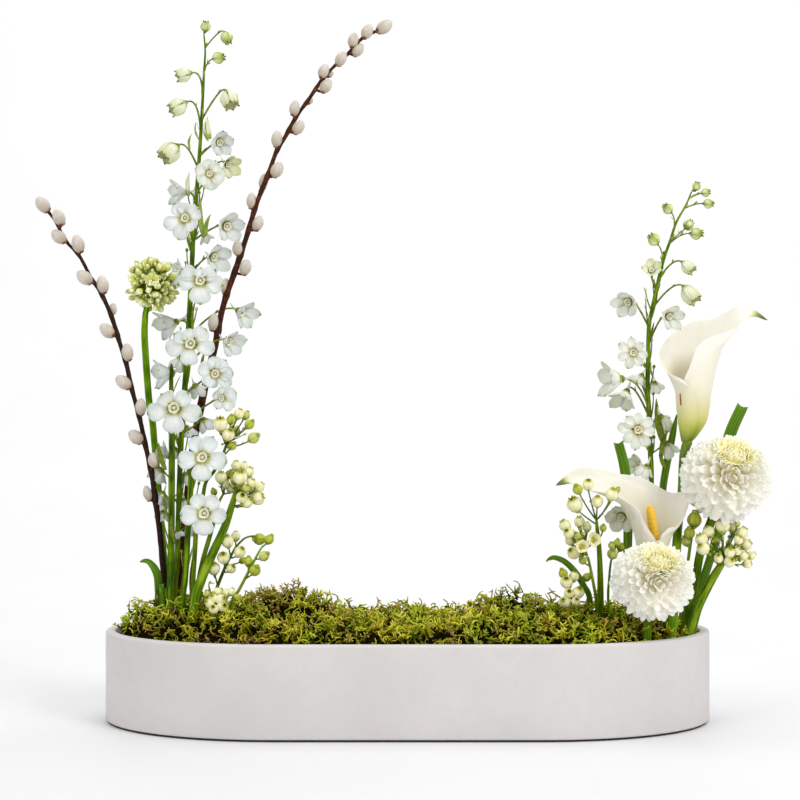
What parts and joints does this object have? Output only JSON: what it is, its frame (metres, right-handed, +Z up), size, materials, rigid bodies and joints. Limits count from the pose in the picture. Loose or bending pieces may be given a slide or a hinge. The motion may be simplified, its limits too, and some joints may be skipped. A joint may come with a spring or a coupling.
{
  "type": "ikebana arrangement",
  "caption": "Low round-ended stone trough of moss with two clumps of upright flowers: willow and delphinium at one end, calla lilies and chrysanthemums at the other.",
  "frame": {"origin": "centre of the underside of the base pad, on the surface the trough stands on", "axes": "+Z up; +X to the right along the trough, from the willow and delphinium end to the calla and chrysanthemum end; -Y towards the front, the side the picture shows"},
  "size_m": [0.7271, 0.22, 0.6974],
  "materials": {
    "trough_stone": "matte honed light warm grey, faint mottling",
    "pad_rubber": "matte black",
    "floral_foam": "matte, fine open cells, wet",
    "moss": "rough curled fronds, yellow-green to olive and brown",
    "willow_bark": "dark reddish-brown bark, silky silver-cream catkins",
    "delphinium_petal": "satin white with a faint blue edge and a cream centre",
    "delphinium_stem": "satin fresh green, pale green-white buds",
    "globe_flower": "matte packed yellow-green buds",
    "smooth_stem": "satin smooth green",
    "ribbed_stem": "satin ribbed green",
    "calla_spathe": "waxy ivory white, green at the foot and at the tip",
    "calla_spadix": "matte fine-grained yellow",
    "chrysanthemum_petal": "soft satin cream white, yellow at the centre",
    "leaf_blade": "satin green with fine long veins",
    "bud_spray": "satin cream-white and pale green buds on green twigs"
  },
  "bodies": {
    "root": {"arching_leaf_left": "leaf_blade", "arching_leaf_right": "leaf_blade", "base_pad": "pad_rubber", "bud_spray_left_1": "bud_spray", "bud_spray_left_2": "bud_spray", "bud_spray_left_3": "bud_spray", "bud_spray_left_4": "bud_spray", "bud_spray_left_5": "bud_spray", "bud_spray_left_6": "bud_spray", "bud_spray_right_1": "bud_spray", "bud_spray_right_2": "bud_spray", "bud_spray_right_3": "bud_spray", "bud_spray_right_4": "bud_spray", "bud_spray_right_5": "bud_spray", "bud_spray_right_6": "bud_spray", "bud_spray_right_7": "bud_spray", "calla_lower_spadix": "calla_spadix", "calla_lower_spathe": "calla_spathe", "calla_lower_stem": "smooth_stem", "calla_upper_spadix": "calla_spadix", "calla_upper_spathe": "calla_spathe", "calla_upper_stem": "smooth_stem", "chrysanthemum_lower_head": "chrysanthemum_petal", "chrysanthemum_lower_stem": "ribbed_stem", "chrysanthemum_upper_head": "chrysanthemum_petal", "chrysanthemum_upper_stem": "ribbed_stem", "cut_leaf_left": "leaf_blade", "cut_leaf_right_slanted": "leaf_blade", "cut_leaf_right_tall": "leaf_blade", "delphinium_left_floret_01": "delphinium_petal", "delphinium_left_floret_02": "delphinium_petal", "delphinium_left_floret_03": "delphinium_petal", "delphinium_left_floret_04": "delphinium_petal", "delphinium_left_floret_05": "delphinium_petal", "delphinium_left_floret_06": "delphinium_petal", "delphinium_left_floret_07": "delphinium_petal", "delphinium_left_floret_08": "delphinium_petal", "delphinium_left_floret_09": "delphinium_petal", "delphinium_left_floret_10": "delphinium_petal", "delphinium_left_floret_11": "delphinium_petal", "delphinium_left_floret_12": "delphinium_petal", "delphinium_right_floret_01": "delphinium_petal", "delphinium_right_floret_02": "delphinium_petal", "delphinium_right_floret_03": "delphinium_petal", "delphinium_right_floret_04": "delphinium_petal", "delphinium_right_floret_05": "delphinium_petal", "delphinium_right_stem": "delphinium_stem", "delphinium_short_stem": "delphinium_stem", "delphinium_side_stem": "delphinium_stem", "delphinium_tall_stem": "delphinium_stem", "foam_left": "floral_foam", "foam_middle": "floral_foam", "foam_right": "floral_foam", "globe_flower_head": "globe_flower", "globe_flower_stem": "smooth_stem", "moss_bed": "moss", "pointed_leaf_right": "leaf_blade", "trough": "trough_stone", "willow_branch_left": "willow_bark", "willow_branch_right": "willow_bark"}
  },
  "joints": []
}
